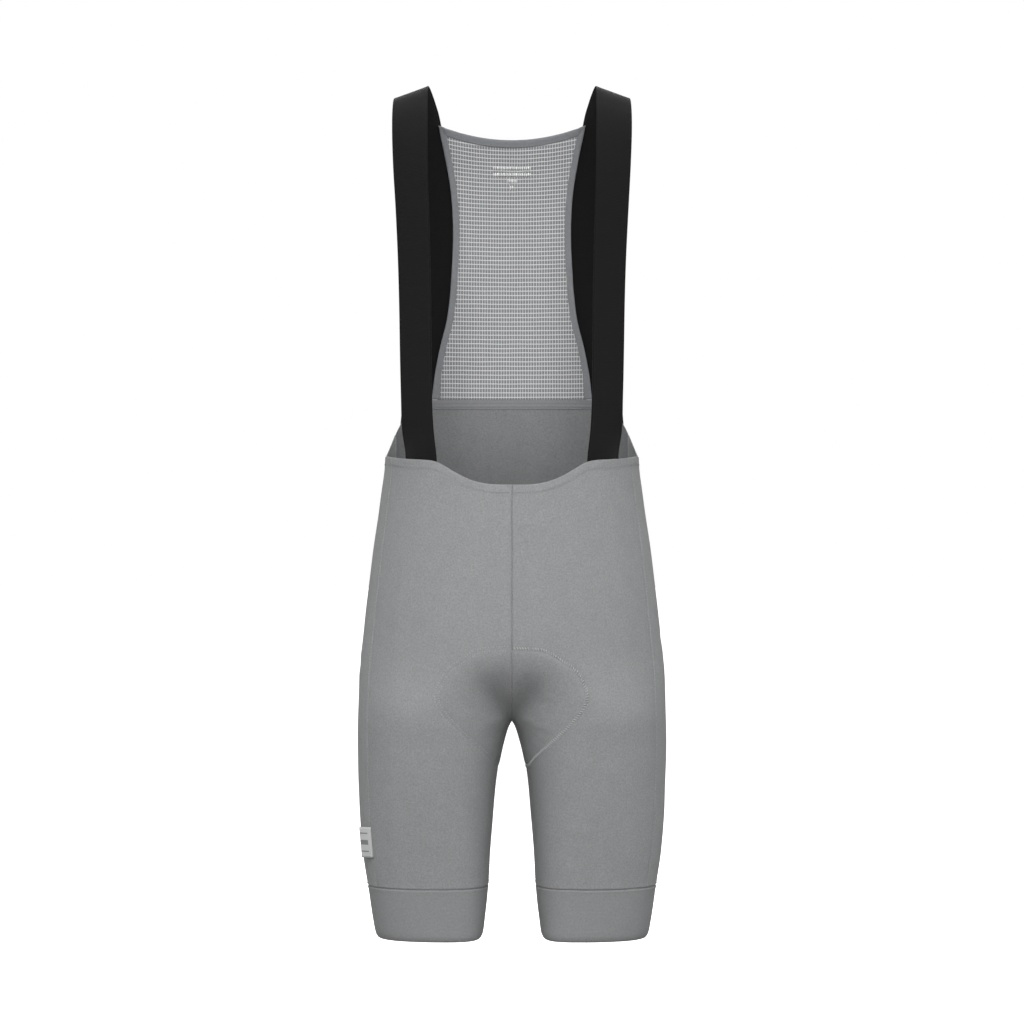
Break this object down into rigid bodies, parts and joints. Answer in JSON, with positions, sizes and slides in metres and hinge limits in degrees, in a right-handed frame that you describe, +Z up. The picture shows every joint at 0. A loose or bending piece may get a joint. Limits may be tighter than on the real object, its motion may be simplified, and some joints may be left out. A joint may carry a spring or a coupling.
{
  "type": "cycling bib shorts",
  "caption": "Hollow worn-shape bib shorts with curved legs, elastic shoulder straps, a mesh back panel, ribbed leg grippers and a stitched-in seat pad.",
  "frame": {"origin": "midway between the highest points of the two shoulder straps, on the symmetry plane, where the wearer's shoulders hold the garment up", "axes": "+Z up, the front faces -Y, +X is the wearer's left"},
  "size_m": [0.3392, 0.2409, 0.9357],
  "materials": {
    "main_knit": "matt heathered grey knit",
    "side_knit": "matt darker grey knit",
    "gripper_knit": "fine ribbed grey elastic",
    "strap_elastic": "near-black woven elastic",
    "back_mesh": "grey knit mesh with a pale grid",
    "binding_knit": "grey knit tape",
    "pad_foam": "brushed grey foam-backed knit",
    "woven_label": "pale satin woven tape"
  },
  "bodies": {
    "root": {"back_yoke": "main_knit", "band_bottom": "binding_knit", "binding_left": "binding_knit", "binding_right": "binding_knit", "binding_top": "binding_knit", "front_left": "main_knit", "front_right": "main_knit", "gripper_left": "gripper_knit", "gripper_right": "gripper_knit", "mesh_back": "back_mesh", "seat_left": "main_knit", "seat_pad": "pad_foam", "seat_right": "main_knit", "side_label": "woven_label", "side_left": "side_knit", "side_right": "side_knit", "strap_left": "strap_elastic", "strap_right": "strap_elastic"}
  },
  "joints": []
}
